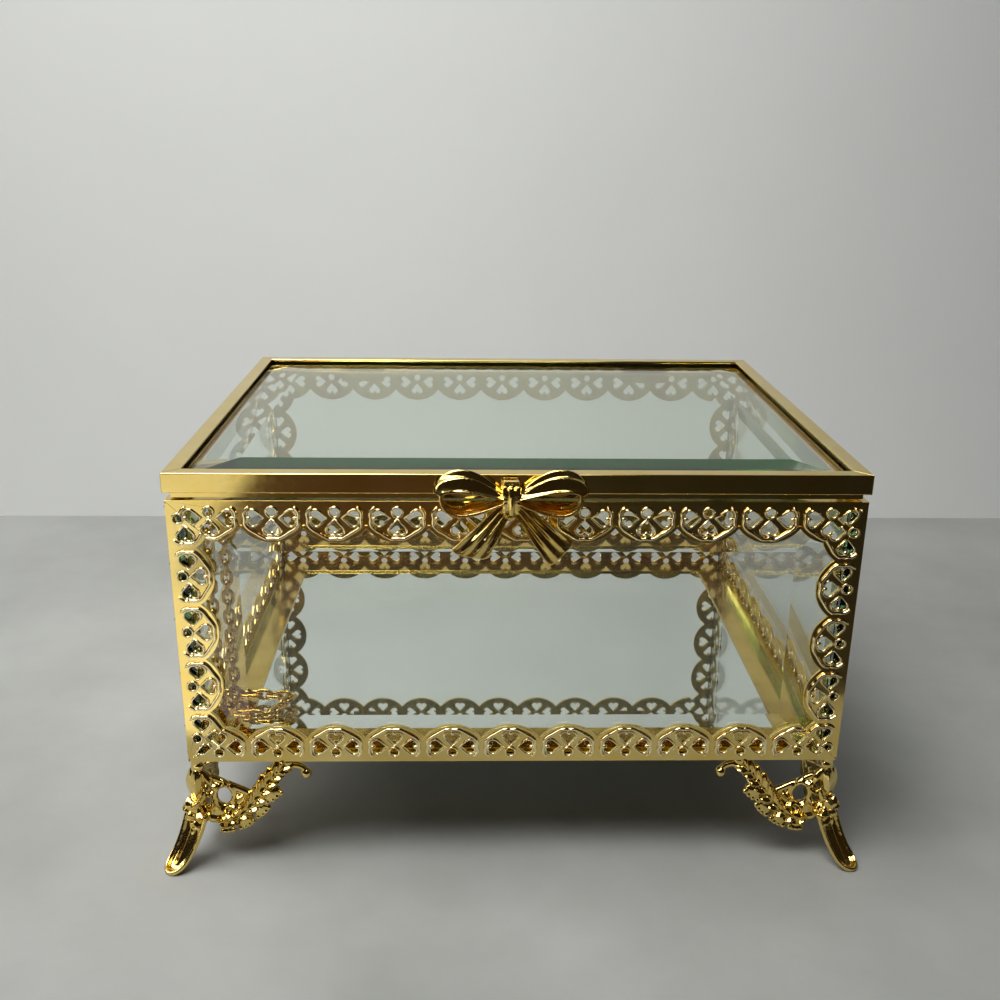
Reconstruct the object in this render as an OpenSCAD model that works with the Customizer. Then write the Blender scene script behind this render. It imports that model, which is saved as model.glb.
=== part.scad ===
// Glass casket box: bevelled glass panels in a stamped gold lace frame, on four cast feet.
// The hinged lid has a cast bow at the front and a stay chain inside.
// Front is -Y, the hinges are at +Y, and z = 0 is the surface that the feet stand on.

/* [Glass body] */
// Width of the glass body over the lace plates, left to right
body_w = 176; // [160:1:200]
// Depth of the glass body over the lace plates, front to back
body_d = 138.6; // [126:0.2:156]
// Height of the glass body, from the bottom rail to the top rail
body_h = 74.6; // [68:0.2:86]
// Thickness of the stamped frame metal
metal_t = 0.8; // [0.6:0.05:1]
// Width of the flange turned in at the top of the body
top_flange_w = 4.4; // [3.6:0.2:6]
// Width of the flange turned in under the body, which carries the glass and the mirror
bottom_flange_w = 12; // [9:0.5:15]
// Thickness of the side glass
glass_t = 3.2; // [2.6:0.1:4]
// Thickness left at the edge of the side glass by its bevel
glass_edge_t = 1.6; // [1:0.1:2.2]
// Width of the bevel round the side glass
glass_bevel = 13; // [8:0.5:18]

/* [Mirror floor] */
// Thickness of the mirror plate
mirror_t = 1.8; // [1.4:0.1:3]
// Thickness of the channel strip folded round the mirror's edge
channel_t = 0.6; // [0.4:0.05:0.8]
// Width of the channel's top leg, the flat lip seen round the mirror
channel_lip = 8.4; // [6:0.2:11]
// Width of the channel's bottom leg under the mirror
channel_foot = 5; // [3:0.2:6]
// Groove between the glass and the channel
channel_groove = 1.5; // [0.8:0.1:2.4]

/* [Lace] */
// Distance from one scallop to the next
lace_pitch = 15.64; // [13:0.02:18]
// Depth of the lace from its straight edge to the tip of a scallop
lace_depth = 11; // [10.4:0.1:12.4]
// Depth of the lace from its straight edge to the cusp between scallops
lace_cusp = 7.1; // [6.6:0.1:8.2]
// Radius of the small round hole of a cell
lace_hole_r = 1.15; // [0.8:0.05:1.3]
// Distance of the round hole's centre from the straight edge
lace_hole_inset = 2.95; // [2.6:0.05:3.2]
// Radius of a lobe of the pierced hearts
heart_lobe_r = 1.15; // [0.9:0.05:1.25]
// Half the distance between the two lobes of a heart
heart_lobe_x = 0.92; // [0.7:0.02:1]
// Distance from the line of the lobes to the point of a heart
heart_len = 2.7; // [2.2:0.05:2.9]
// Distance of the middle heart's lobes from the straight edge
heart_mid_v = 7.7; // [7.5:0.05:7.9]
// Distance of the outer hearts' lobes from the cell's centre line
heart_side_u = 4.75; // [4.5:0.05:4.9]
// Distance of the outer hearts' lobes from the straight edge
heart_side_v = 4.55; // [4.3:0.05:4.8]
// Width of the raised rim along the scallops
lace_rim_w = 0.7; // [0.5:0.05:1]
// Height of the raised rim along the scallops
lace_rim_t = 0.3; // [0.2:0.05:0.5]
// Shift of the cells along the top rails
lace_top_phase = 0.8; // [-7:0.1:7]
// Shift of the cells along the bottom rails
lace_bottom_phase = -1.3; // [-7:0.1:7]
// Shift of the cells along the left leg of each face
lace_left_phase = 1.3; // [-7:0.1:7]
// Shift of the cells along the right leg of each face
lace_right_phase = -2; // [-7:0.1:7]

/* [Lid] */
// Gap between the top rail and the closed lid
lid_gap = 2; // [1.4:0.1:3]
// How far the lid stands out past the body on each side
lid_over = 0.4; // [0.2:0.1:1]
// Thickness of the lid glass
lid_glass_t = 3.6; // [3:0.1:5]
// Thickness left at the edge of the lid glass by its bevel
lid_edge_t = 2; // [1.4:0.1:2.6]
// Width of the bevel round the lid glass
lid_bevel = 15.5; // [10:0.5:20]
// Width of the lid channel's top and bottom lips
lid_lip = 4.1; // [3.4:0.1:6]

/* [Bow knob] */
// Sideways place of the bow on the lid's front edge
bow_x = -2.2; // [-12:0.2:12]
// Height of the knot's centre above the underside of the lid
bow_z = 0.2; // [-1:0.1:1]
// Reach of one loop from the centre of the knot
bow_loop_l = 18.4; // [14:0.2:20]
// Height of a loop's back edge above the knot's centre
bow_loop_rise = 6.2; // [5:0.1:7]
// Drop of a loop below the knot's centre
bow_loop_drop = 5; // [3.6:0.1:5.4]
// Length of the tails
bow_tail_l = 17.4; // [13:0.2:20]
// Width of a tail's end
bow_tail_w = 7.8; // [6:0.2:9]
// Thickness of the cast ribbon
bow_ribbon_t = 0.9; // [0.7:0.05:1.2]
// Depth of the ribbon loops, front to back
bow_depth = 4.6; // [3.6:0.1:6]
// Radius of the knot
bow_knot_r = 2.1; // [1.8:0.1:2.6]
// Height of the knot
bow_knot_h = 7; // [6:0.2:9]
// Radius of the bead under the knot
bow_bead_r = 0.9; // [0.6:0.1:1.2]
// Clearance between the bow and the lace behind it
bow_clear = 0.6; // [0.4:0.1:1.2]

/* [Feet] */
// Height of the body above the surface that it stands on
foot_h = 31; // [28:0.5:36]
// Thickness of the foot's leaf plates
foot_t = 3; // [2.4:0.1:3.6]
// Distance of the leaf plates behind the faces of the body
foot_inset = 0.4; // [0:0.1:1.4]
// Radius of the round opening in each leaf plate
foot_eye_r = 2.3; // [1.8:0.1:2.6]
// Reach of the leaf branch along the bottom rail, to the centre of its scroll
foot_reach = 31.4; // [28:0.2:36]
// Radius of the scroll at the end of the branch
foot_scroll_r = 1.5; // [1.1:0.1:1.9]
// Radius of the rosette at the heart of the foot
foot_rosette_r = 3.2; // [2.6:0.1:3.8]
// Distance that the foot's pad stands out diagonally past the body's corner
pad_reach = 10.4; // [8:0.2:12]
// Width of the pad
pad_w = 7.8; // [6.6:0.1:9]
// Thickness of the pad, from its rim to its sole
pad_t = 2.6; // [2.2:0.1:3.2]
// Depth of the two hollows inside the pad's rim
pad_hollow = 1.3; // [0.8:0.1:1.5]

/* [Hinges] */
// Distance of each hinge from the middle of the back
hinge_x = 52; // [30:1:64]
// Length of one hinge knuckle
knuckle_l = 5; // [4:0.1:7]
// Gap between the knuckles
knuckle_gap = 0.2; // [0.15:0.01:0.4]
// Radius of the knuckles
knuckle_r = 1.5; // [1.3:0.05:1.7]
// Radius of the hinge pins
pin_r = 0.6; // [0.45:0.05:0.75]
// Running clearance between pin and knuckle, on the radius
pin_clear = 0.05; // [0.03:0.01:0.1]
// Thickness of the hinge leaves
leaf_t = 0.8; // [0.6:0.05:1]
// Height of the hinge leaves
leaf_h = 4.6; // [4:0.1:5]
// Distance of the pin's axis behind the body
pin_back = 2.3; // [2.1:0.05:2.6]

/* [Stay chain] */
// Diameter of the chain's wire
wire_d = 0.9; // [0.7:0.05:1]
// Inner length of a link
link_in_l = 3.2; // [3:0.05:3.6]
// Inner width of a link
link_in_w = 1.6; // [1.5:0.05:2]
// Play between two links
link_play = 0.25; // [0.2:0.01:0.35]
// Clearance between the links that lie in the box and the channel under them
chain_lift = 0.35; // [0.3:0.05:0.6]
// Distance of the chain's anchors behind the front of the body
chain_y = 20; // [18:0.5:30]
// Distance of the body strand from the left face of the body
strand_a_in = 6.4; // [6.3:0.05:6.6]
// Distance of the lid strand from the left face of the body
strand_b_in = 10.8; // [10.6:0.1:12]
// Width of the lugs that the chain hangs from
lug_w = 3.6; // [3:0.1:5]
// Length of lug soldered to the frame
lug_seat = 1.5; // [1:0.1:2]

/* [Hidden] */

GOLD = [0.86, 0.68, 0.26];
CLEAR = [0.78, 0.88, 0.84, 0.35];
SILVER = [0.62, 0.66, 0.67];

// How deep a shape that is joined on reaches into the one that carries it
bite = 0.1;

// Faces of the body in turn: front, right, back, left
FRONT = 0;
RIGHT = 1;
BACK = 2;
LEFT = 3;
function face_len(i) = i % 2 == 0 ? body_w : body_d;
function face_out(i) = i % 2 == 0 ? body_d / 2 : body_w / 2;

body_z = foot_h;
glass_in = metal_t + glass_t;
channel_out = glass_in + channel_groove;
floor_z = body_z + metal_t + 2 * channel_t + mirror_t;
lid_z = body_z + body_h + lid_gap;
lid_h = lid_glass_t + 2 * metal_t;
mitre = lace_depth + 1;
scallop_h = lace_depth - lace_cusp;
scallop_r = (pow(lace_pitch / 2, 2) + pow(scallop_h, 2)) / (2 * scallop_h);
pin_y = body_d / 2 + pin_back;
pin_z = body_z + body_h + lid_gap / 2;
hinge_w = 3 * knuckle_l + 2 * knuckle_gap;

wire_r = wire_d / 2;
link_r = link_in_w / 2 + wire_r;
link_l = link_in_l + 2 * wire_d;
link_pitch = link_in_l - link_play;
link_first = link_in_l / 2 - wire_r - link_play;
strand_y = -body_d / 2 + chain_y;
strand_a_x = -body_w / 2 + strand_a_in;
strand_b_x = -body_w / 2 + strand_b_in;
// The chain lies on the mirror's channel, so that height sets how many links hang above it:
// an even number from the body and an odd one from the lid
heap_z = floor_z + link_r + wire_r + chain_lift;
strand_b_end = heap_z - 0.15;
// Each lug hangs its wire at least this far under its tab, which leaves the links room to swing
lug_a_drop = 3.4;
lug_b_drop = 2.1;
lug_a_z = body_z + body_h;
lug_b_z = lid_z - metal_t;
strand_a_links = 2 * floor((lug_a_z - lug_a_drop - heap_z) / link_pitch / 2);
strand_b_links = 2 * floor(((lug_b_z - lug_b_drop - strand_b_end) / link_pitch - 1) / 2) + 1;
strand_a_z = heap_z + strand_a_links * link_pitch;
strand_b_z = strand_b_end + strand_b_links * link_pitch;
// Heading of each run of the heap on the floor, and the number of its links
heap_heading = [90, -8, -112, -188];
heap_links = [3, 6, 4, 3];

// Width of the foot's upright stem, and the patch where its branch meets the rail
foot_stem_w = 4.4;
foot_seat = [4, 1.2];
// Depth of the foot's cast parts behind its own corner, at the rosette
foot_heart_in = 2.2;
// Place of the eye in each leaf plate: distance from the corner, and depth below the body
foot_eye = [8.6, 11.4];
// Depth of the rosette's middle below the body
rosette_z = 17.5;
// The pad runs outwards along the diagonal and down, steep at first and flatter at its tip. Each
// point of its curve is a distance out from the body's corner and a height
pad_curve = [[-0.6, 2 - rosette_z], [pad_reach * 0.35, 3 - foot_h], [pad_reach - 0.4, 0.8 - foot_h]];
// Share of the pad's run where its round end begins
pad_round = 0.6;

// ---------------------------------------------------------------- shared shapes

// Turns what is drawn for the front face to face i; y = 0 is the face's outer plane, z = 0 its foot
module on_face(i) {
    rotate([0, 0, 90 * i]) translate([0, -face_out(i), body_z]) children();
}

// Stands a flat outline up in the plane of the face, from depth y0 to depth y1
module upright(y0, y1) {
    translate([0, y1, 0]) rotate([90, 0, 0]) linear_extrude(y1 - y0) children();
}

// A closed skin over rings of points, with a flat cap on each end
module skin(rings) {
    n = len(rings[0]);
    m = len(rings);
    polyhedron(
        points = [for (r = rings) each r],
        faces = concat(
            [[for (i = [n - 1 : -1 : 0]) i]],
            [[for (i = [0 : n - 1]) (m - 1) * n + i]],
            [for (k = [0 : m - 2], i = [0 : n - 1])
                each [[k * n + i, (k + 1) * n + (i + 1) % n, (k + 1) * n + i],
                      [k * n + i, k * n + (i + 1) % n, (k + 1) * n + (i + 1) % n]]]
        ),
        convexity = 6
    );
}

// ---------------------------------------------------------------- lace

// A heart with its lobes at the origin's height and its point below
module heart() {
    reach = norm([heart_lobe_x, heart_len]);
    grip = heart_lobe_r * 0.98;
    side = sqrt(reach * reach - grip * grip);
    lean = atan2(heart_lobe_x, heart_len) + asin(grip / reach);
    shoulder = [side * sin(lean), -heart_len + side * cos(lean)];
    for (s = [-1, 1]) translate([s * heart_lobe_x, 0]) circle(heart_lobe_r, $fn = 32);
    polygon([[0, -heart_len], shoulder, [heart_lobe_x, 0], [-heart_lobe_x, 0],
             [-shoulder[0], shoulder[1]]]);
}

// The four openings of one cell: a round hole and three hearts that point at its middle
module cell_openings() {
    translate([0, lace_hole_inset]) circle(lace_hole_r, $fn = 32);
    translate([0, heart_mid_v]) heart();
    for (s = [-1, 1])
        translate([s * heart_side_u, heart_side_v]) rotate(s * -88) heart();
}

// Middles of the cells along a strip of length l, those cut by its ends included
function cells(l, phase) =
    let (n = ceil(l / lace_pitch / 2) + 1)
    [for (k = [-n : n]) let (u = phase + k * lace_pitch) if (abs(u) < l / 2 + lace_pitch / 2) u];

// A pierced strip with its straight edge on v = 0 and its scallops towards +v
module lace_strip(l, phase) {
    difference() {
        union() {
            translate([-l / 2, 0]) square([l, lace_cusp]);
            for (u = cells(l, phase)) translate([u, lace_depth - scallop_r]) circle(scallop_r, $fn = 96);
        }
        for (u = cells(l, phase)) translate([u, 0]) cell_openings();
        translate([-l, -4 * scallop_r]) square([2 * l, 4 * scallop_r]);
    }
}

// The raised rim along the scallops of a strip
module lace_rim(l, phase) {
    intersection() {
        difference() {
            for (u = cells(l, phase)) translate([u, lace_depth - scallop_r]) circle(scallop_r, $fn = 96);
            for (u = cells(l, phase))
                translate([u, lace_depth - scallop_r]) circle(scallop_r - lace_rim_w, $fn = 96);
        }
        translate([-l, lace_cusp - lace_rim_w]) square([2 * l, scallop_h + 2 * lace_rim_w]);
    }
}

// The four strips of a face stand like a picture frame, cut at 45 degrees where they meet
module top_place() { translate([0, body_h]) mirror([0, 1]) children(); }
module left_place(l) { translate([-l / 2, body_h / 2]) mirror([1, -1]) children(); }

module top_cut(l) {
    polygon([[-l / 2, body_h], [l / 2, body_h],
             [l / 2 - mitre, body_h - mitre], [-l / 2 + mitre, body_h - mitre]]);
}
module bottom_cut(l) {
    polygon([[-l / 2, 0], [l / 2, 0], [l / 2 - mitre, mitre], [-l / 2 + mitre, mitre]]);
}
module left_cut(l) {
    polygon([[-l / 2, 0], [-l / 2 + mitre, mitre], [-l / 2 + mitre, body_h - mitre], [-l / 2, body_h]]);
}
module right_cut(l) { mirror([1, 0]) left_cut(l); }

// Plan view of a rail: cut at 45 degrees so that four rails close round the box
module plan_cut(l, w) {
    k = w + 1;
    polygon([[-l / 2 - 1, -1], [l / 2 + 1, -1], [l / 2 - k, k], [-l / 2 + k, k]]);
}

// ---------------------------------------------------------------- body frame

module top_rail(i) {
    l = face_len(i);
    color(GOLD) on_face(i) intersection() {
        union() {
            upright(0, metal_t) intersection() { top_place() lace_strip(l, lace_top_phase); top_cut(l); }
            upright(-lace_rim_t, bite) intersection() { top_place() lace_rim(l, lace_top_phase); top_cut(l); }
            translate([-l / 2, 0, body_h - metal_t]) cube([l, top_flange_w, metal_t]);
        }
        translate([0, 0, -1]) linear_extrude(body_h + 2) plan_cut(l, top_flange_w);
    }
}

module bottom_rail(i) {
    l = face_len(i);
    color(GOLD) on_face(i) intersection() {
        union() {
            upright(0, metal_t) intersection() { lace_strip(l, lace_bottom_phase); bottom_cut(l); }
            upright(-lace_rim_t, bite) intersection() { lace_rim(l, lace_bottom_phase); bottom_cut(l); }
            translate([-l / 2, 0, 0]) cube([l, bottom_flange_w, metal_t]);
        }
        translate([0, 0, -1]) linear_extrude(body_h + 2) plan_cut(l, bottom_flange_w);
    }
}

// Angle post of the corner at the left end of face i, with one lace leg on each face
module corner_post(i) {
    j = (i + 3) % 4;
    li = face_len(i);
    lj = face_len(j);
    color(GOLD) intersection() {
        union() {
            on_face(i) upright(0, metal_t)
                intersection() { left_place(li) lace_strip(body_h, lace_left_phase); left_cut(li); }
            on_face(i) upright(-lace_rim_t, bite)
                intersection() { left_place(li) lace_rim(body_h, lace_left_phase); left_cut(li); }
            on_face(j) upright(0, metal_t) mirror([1, 0])
                intersection() { left_place(lj) lace_strip(body_h, lace_right_phase); left_cut(lj); }
            on_face(j) upright(-lace_rim_t, bite) mirror([1, 0])
                intersection() { left_place(lj) lace_rim(body_h, lace_right_phase); left_cut(lj); }
        }
        on_face(i) upright(-1, mitre) left_cut(li + 0.001);
        on_face(j) upright(-1, mitre) right_cut(lj + 0.001);
    }
}

// ---------------------------------------------------------------- glass and mirror

// Outline of a bevelled pane seen on edge: length l, thickness t, edge e, bevel width b
module pane_edge(l, t, e, b) {
    polygon([[-l / 2, t], [l / 2, t], [l / 2, t - e], [l / 2 - b, 0], [-l / 2 + b, 0], [-l / 2, t - e]]);
}

// Pane with its bevelled face on y = 0: l wide, h high, standing on z = 0
module pane(l, h, t, e, b) {
    intersection() {
        linear_extrude(h) pane_edge(l, t, e, b);
        translate([-l / 2, 0, h / 2]) rotate([90, 0, 90])
            linear_extrude(l) rotate(90) mirror([0, 1]) pane_edge(h, t, e, b);
    }
}

// The side panes run the full depth, and the front and back panes stand between them
module side_pane(i) {
    l = face_len(i) - 2 * (i % 2 == 0 ? glass_in : metal_t);
    color(CLEAR) on_face(i) translate([0, metal_t, metal_t])
        pane(l, body_h - 2 * metal_t, glass_t, glass_edge_t, glass_bevel);
}

module mirror_plate() {
    edge = channel_out + channel_t;
    color(SILVER) translate([-body_w / 2 + edge, -body_d / 2 + edge, body_z + metal_t + channel_t])
        cube([body_w - 2 * edge, body_d - 2 * edge, mirror_t]);
}

// Channel folded round the mirror's edge, cut at 45 degrees at the corners
module mirror_channel(i) {
    l = face_len(i) - 2 * channel_out;
    h = mirror_t + 2 * channel_t;
    color(GOLD) on_face(i) translate([0, channel_out, metal_t]) intersection() {
        translate([-l / 2, 0, 0]) rotate([90, 0, 90]) linear_extrude(l) difference() {
            square([channel_lip, h]);
            translate([channel_t, channel_t]) square([channel_lip, mirror_t]);
            translate([channel_foot, -1]) square([channel_lip, channel_t + 1.1]);
        }
        translate([0, 0, -1]) linear_extrude(h + 2)
            polygon([[-l / 2, 0], [l / 2, 0], [l / 2 - channel_lip - 1, channel_lip + 1],
                     [-l / 2 + channel_lip + 1, channel_lip + 1]]);
    }
}

// ---------------------------------------------------------------- lid

function lid_len(i) = face_len(i) + 2 * lid_over;

// Channel of the lid frame, cut at 45 degrees at the corners
module lid_rail(i) {
    l = lid_len(i);
    color(GOLD) rotate([0, 0, 90 * i]) translate([0, -face_out(i) - lid_over, lid_z]) intersection() {
        translate([-l / 2, 0, 0]) rotate([90, 0, 90]) linear_extrude(l) difference() {
            square([lid_lip, lid_h]);
            translate([metal_t, metal_t]) square([lid_lip, lid_glass_t]);
        }
        translate([0, 0, -1]) linear_extrude(lid_h + 2)
            polygon([[-l / 2, 0], [l / 2, 0], [l / 2 - lid_lip - 1, lid_lip + 1],
                     [-l / 2 + lid_lip + 1, lid_lip + 1]]);
    }
}

module lid_glass() {
    l = lid_len(FRONT) - 2 * metal_t;
    d = lid_len(RIGHT) - 2 * metal_t;
    color(CLEAR) translate([0, d / 2, lid_z + metal_t + lid_glass_t]) rotate([-90, 0, 0]) mirror([0, 0, 1])
        pane(l, d, lid_glass_t, lid_edge_t, lid_bevel);
}

// ---------------------------------------------------------------- bow knob

// Front and back edge of a ribbon loop at turn a, seen from the front: the front edge lies
// low over the upper half, so that the loop stands open
function loop_x(a) = bow_loop_l * sin(a / 2);
function loop_front(a) = [loop_x(a) * 0.96, (a < 180 ? bow_loop_rise / 4 : bow_loop_drop) * sin(a)];
function loop_back(a) = [loop_x(a), (a < 180 ? bow_loop_rise : bow_loop_drop) * sin(a)];
// The same point moved in by the ribbon's thickness, towards the middle of the loop
function loop_in(p) = let (c = [bow_loop_l * 0.62, 0], v = c - p) p + v / norm(v) * bow_ribbon_t;

module bow_loop() {
    steps = 22;
    knot_turn = 8;
    skin([for (k = [0 : steps])
        let (a = knot_turn + k * (360 - 2 * knot_turn) / steps,
             f = loop_front(a), b = loop_back(a), fi = loop_in(f), bi = loop_in(b))
        [[f[0], 0, f[1]], [b[0], bow_depth, b[1]], [bi[0], bow_depth, bi[1]], [fi[0], 0, fi[1]]]]);
}

// Pleated tail hanging from the knot, its end cut to a slant
module bow_tail(slant) {
    ridges = 3;
    across = 12;
    down = 5;
    knot_w = 1.2;
    mid_y = 1.1;
    back_y = mid_y + bow_ribbon_t + 0.7;
    skin([for (k = [0 : down])
        let (s = k / down, w = knot_w + (bow_tail_w / 2 - knot_w) * s, fold = 0.55 * (1 - 0.6 * s))
        concat(
            [for (q = [0 : across]) let (u = -1 + 2 * q / across)
                [w * u, mid_y - fold * cos(180 * ridges * u), -bow_tail_l * s - slant * u * s]],
            [for (q = [across : -1 : 0]) let (u = -1 + 2 * q / across)
                [w * u, back_y - fold * 0.4 * cos(180 * ridges * u), -bow_tail_l * s - slant * u * s]])]);
}

// Knot: a core wrapped in upright folds that are fullest at its ends, and a bead below
module bow_knot() {
    fold_r = bow_knot_r * 0.42;
    mid_y = 2;
    up = 4;
    translate([0, mid_y, -bow_knot_h * 0.43]) cylinder(r = bow_knot_r * 0.8, h = bow_knot_h * 0.86, $fn = 20);
    for (turn = [-52, 0, 52], k = [0 : up - 1]) hull() for (s = [k, k + 1]) let (u = 2 * s / up - 1)
        translate([0, mid_y, u * (bow_knot_h / 2 - 0.1) - 0.1]) rotate(turn)
            translate([0, -bow_knot_r * (0.72 + 0.16 * u * u) * (abs(u) == 1 ? 0.9 : 1), 0])
                cylinder(r = fold_r * (abs(u) == 1 ? 0.7 : 1), h = 0.2, $fn = 10);
    translate([-0.4, mid_y - 0.4, -bow_knot_h / 2 - bow_bead_r * 0.8]) sphere(bow_bead_r, $fn = 16);
}

// The bow hangs clear of the lace, on a lug that runs back from its knot to the lid's edge
module bow_knob() {
    front = -body_d / 2 - lace_rim_t - bow_clear - bow_depth;
    back = -body_d / 2 - lid_over;
    lug_front = 2;
    lug_low = 0.6;
    lug = [4, back - front - lug_front, 4];
    loop_sag = 4;
    tail_turn = [33, -40];
    tail_slant = [1.4, 1.8];
    color(GOLD) translate([bow_x, front, lid_z + bow_z]) {
        for (s = [0, 1]) mirror([s, 0, 0]) rotate([0, -loop_sag, 0]) bow_loop();
        for (s = [0, 1]) rotate([0, tail_turn[s], 0]) bow_tail(tail_slant[s]);
        bow_knot();
        translate([-lug[0] / 2, lug_front, lug_low]) cube(lug);
    }
}

// ---------------------------------------------------------------- feet

// Branch of the foot seen from the front: each stop is its distance from the corner,
// its depth below the body and its radius
function foot_branch() = [
    [3.6, 15.6, 3.6], [9, 17.4, 4.2], [14, 14.6, 4.2], [18, 10, 3.6],
    [21.4, 5.4, 2.8], [24.6, 2.2, 1.8], [foot_reach - 3, 1.8, 1.1], [foot_reach, 4, foot_scroll_r]
];
// Scallops under the branch, each given in the same way
function foot_scallops() = [
    [21.4, 11.6, 2.2], [18.6, 15.4, 2], [15.2, 18.2, 2], [11.4, 20.2, 2], [7.8, 20.6, 1.6]
];

// Flat outline of one leaf plate of the foot
module foot_outline() {
    stops = foot_branch();
    difference() {
        union() {
            for (k = [0 : len(stops) - 2])
                hull() for (p = [stops[k], stops[k + 1]]) translate([p[0], -p[1]]) circle(p[2], $fn = 20);
            for (p = foot_scallops()) translate([p[0], -p[1]]) circle(p[2], $fn = 16);
            hull() {
                translate([0.4, 0]) square([foot_stem_w, 1]);
                translate([2, -rosette_z]) circle(foot_stem_w * 0.54, $fn = 16);
            }
            hull() {
                translate([3.2, -4.6]) circle(1.8, $fn = 16);
                translate([14, -12]) circle(2, $fn = 16);
            }
            // The branch is soldered to the rail here
            translate([foot_reach - 8.4, -foot_seat[1]]) square(foot_seat);
        }
        translate([foot_eye[0], -foot_eye[1]]) circle(foot_eye_r, $fn = 20);
    }
}

// Pointed leaf along x, l long and w wide, with a ridge down its middle
module leaflet(l, w) {
    fullest = 0.4 * l;
    rotate([0, 90, 0]) {
        cylinder(r1 = w / 8, r2 = w / 2, h = fullest, $fn = 4);
        translate([0, 0, fullest]) cylinder(r1 = w / 2, r2 = w / 20, h = l - fullest, $fn = 4);
    }
}

// Leaflets that stand out of the leaf plate in pairs along the branch, a long bud on its stem,
// and the raised ring round its eye
module foot_relief() {
    stops = foot_branch();
    leaflet_w = 2.6;
    leaflet_turn = 32;
    bud_l = 12;
    bud_w = 3.8;
    eye_ring = 1;
    // Each k stands for a place on the branch, and its part after the point for the way to the next stop
    for (k = [0.8 : 0.7 : 5]) {
        p = stops[floor(k)];
        q = stops[floor(k) + 1];
        at = p + (q - p) * (k - floor(k));
        run = atan2(p[1] - q[1], q[0] - p[0]);
        for (s = [-1, 1])
            translate([at[0], 2 * bite, -at[1]]) rotate([0, s * leaflet_turn - run, 0])
                leaflet(at[2] + 0.6 * leaflet_w, leaflet_w);
    }
    translate([foot_stem_w / 2, 0, -2]) rotate([0, 95, 0]) leaflet(bud_l, bud_w);
    translate([foot_eye[0], 0, -foot_eye[1]]) rotate([90, 0, 0]) translate([0, 0, -foot_t / 2])
        difference() {
            cylinder(r = foot_eye_r + eye_ring, h = foot_t / 2 + eye_ring / 2, $fn = 20);
            translate([0, 0, -1]) cylinder(r = foot_eye_r + bite, h = foot_t + 2, $fn = 20);
        }
}

// Point t of the pad's curve, from 0 at its top to 1 at its tip, and the way up from its rim there
function pad_at(t) = pow(1 - t, 2) * pad_curve[0] + 2 * t * (1 - t) * pad_curve[1] + t * t * pad_curve[2];
function pad_up(t) =
    let (run = (1 - t) * (pad_curve[1] - pad_curve[0]) + t * (pad_curve[2] - pad_curve[1]))
    [-run[1], run[0]] / norm(run);

// How full the pad is at t: 1 along its parallel sides, and 0 at the end of its round tip
function pad_full(t) = t < pad_round ? 1 : sqrt(1 - pow((t - pad_round) / (1 - pad_round), 2));

// Height of the pad's upper face at u, from -1 at one rim to 1 at the other: two hollows with a
// ridge between them that runs out before the tip
function pad_top(u, t) =
    let (ridge = 0.8 * max(0, 1 - pow(t / 0.8, 3)))
    -pad_hollow * pad_full(t) * max(0, 1 - pow(abs(u) / 0.86, 6))
        * (1 - ridge * pow(max(0, 1 - abs(u) / 0.4), 1.5));

// Depth of the pad's sole at u
function pad_sole(u, t) = -1.1 - (pad_t - 1.1) * pad_full(t) * (1 - u * u);

module foot_pad() {
    across = 12;
    under = 4;
    sides = 3;
    tip = 6;
    stops = concat([for (k = [0 : sides - 1]) pad_round * k / sides],
                   [for (k = [0 : tip]) pad_round + (1 - pad_round) * sin(87 * k / tip)]);
    rotate([0, 0, 225]) skin([for (t = stops)
        let (p = pad_at(t), up = pad_up(t), w = pad_w / 2 * pad_full(t))
        concat(
            [for (q = [0 : across]) let (u = -1 + 2 * q / across, h = pad_top(u, t))
                [p[0] + up[0] * h, w * u, p[1] + up[1] * h]],
            [for (q = [0 : under]) let (u = 1 - 2 * q / under, h = pad_sole(u, t))
                [p[0] + up[0] * h, w * u, p[1] + up[1] * h]])]);
}

// Rosette of round petals where the two leaf plates and the pad meet
module foot_rosette() {
    petals = 6;
    translate([foot_heart_in, foot_heart_in, -rosette_z]) rotate([0, 0, 225]) {
        sphere(foot_rosette_r, $fn = 12);
        for (k = [0 : petals - 1]) rotate([360 * k / petals, 0, 0])
            translate([foot_rosette_r * 0.7, 0, foot_rosette_r * 0.8]) sphere(foot_rosette_r * 0.42, $fn = 8);
        translate([foot_rosette_r * 1.1, 0, 0]) sphere(foot_rosette_r * 0.4, $fn = 8);
    }
}

// One cast foot at the corner at the left end of face i
module foot(i) {
    room = foot_reach + pad_reach;
    color(GOLD) rotate([0, 0, 90 * i])
        translate([-face_len(i) / 2, -face_out(i), body_z]) intersection() {
            union() {
                for (s = [0, 1]) mirror([s, -s, 0]) translate([0, foot_inset, 0]) {
                    upright(0, foot_t) foot_outline();
                    foot_relief();
                }
                foot_rosette();
                foot_pad();
            }
            translate([-room, -room, -foot_h]) cube([2 * room, 2 * room, foot_h]);
        }
}

// ---------------------------------------------------------------- hinges

// Three knuckles share one pin: the outer two belong to the body, the middle one to the lid
module knuckle_at(k, grow) {
    translate([k * (knuckle_l + knuckle_gap) - knuckle_l / 2 - grow, 0, 0])
        rotate([0, 90, 0]) cylinder(r = knuckle_r + grow, h = knuckle_l + 2 * grow, $fn = 48);
}

module pin_bore() {
    translate([-hinge_w, 0, 0]) rotate([0, 90, 0])
        cylinder(r = pin_r + pin_clear, h = 2 * hinge_w, $fn = 48);
}

module hinge_place(side) {
    translate([side * hinge_x, pin_y, pin_z]) children();
}

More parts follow.
